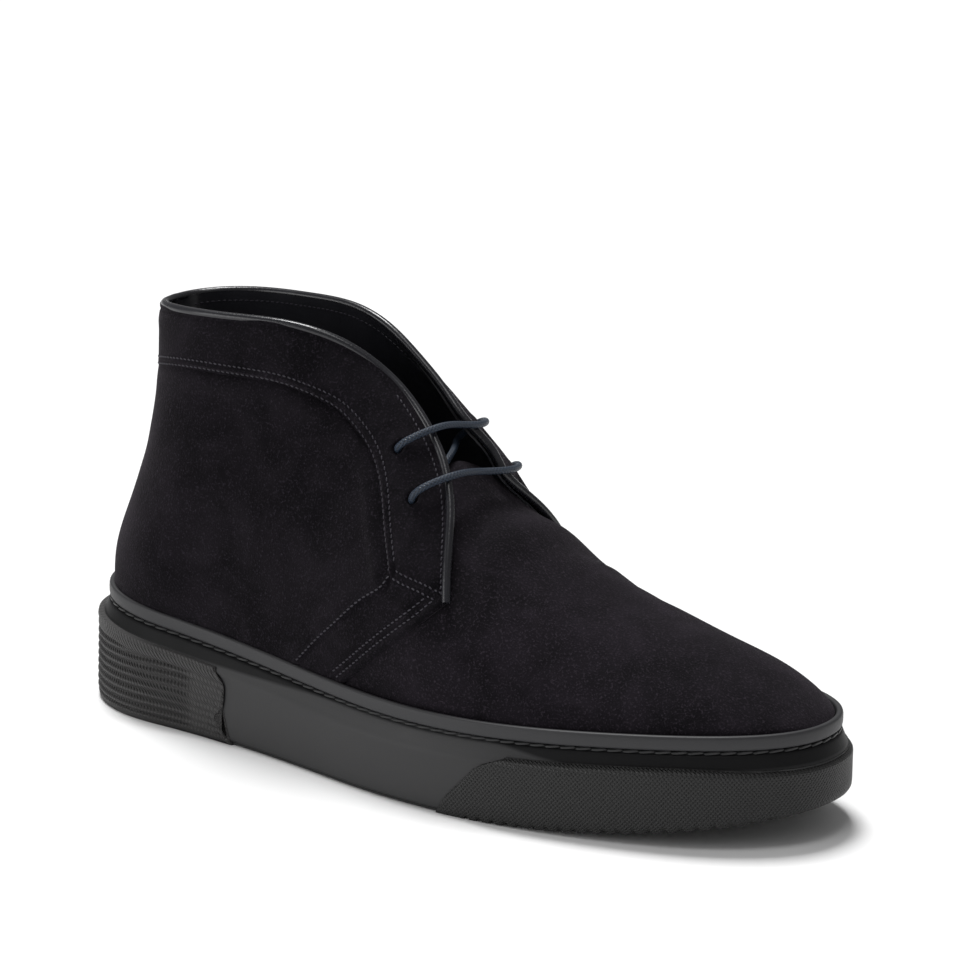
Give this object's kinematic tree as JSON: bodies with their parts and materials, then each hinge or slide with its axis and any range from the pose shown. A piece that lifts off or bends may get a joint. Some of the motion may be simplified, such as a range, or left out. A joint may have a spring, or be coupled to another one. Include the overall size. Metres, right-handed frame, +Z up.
{
  "type": "chukka boot",
  "caption": "Ankle-high suede chukka boot for the right foot, with open lacing, rolled piping and a rubber cup sole with a ribbed heel wrap and knurled toe bumper.",
  "frame": {"origin": "middle of the boot's length and width, on the plane that it stands on", "axes": "+X towards the toe, +Y towards the inner side of the foot, +Z up"},
  "size_m": [0.304, 0.1102, 0.1556],
  "materials": {
    "outsole_rubber": "moulded, matt, with fine knurling",
    "midsole_rubber": "moulded, smooth, satin",
    "suede": "brushed suede, matt",
    "lining_leather": "smooth lining leather, satin",
    "piping_leather": "polished, glossy",
    "lace_cord": "waxed round braid"
  },
  "bodies": {
    "root": {"outsole": "outsole_rubber", "midsole": "midsole_rubber", "rand": "midsole_rubber", "insole": "lining_leather", "upper": "suede", "tongue": "suede", "piping": "piping_leather", "lace": "lace_cord"}
  },
  "joints": []
}
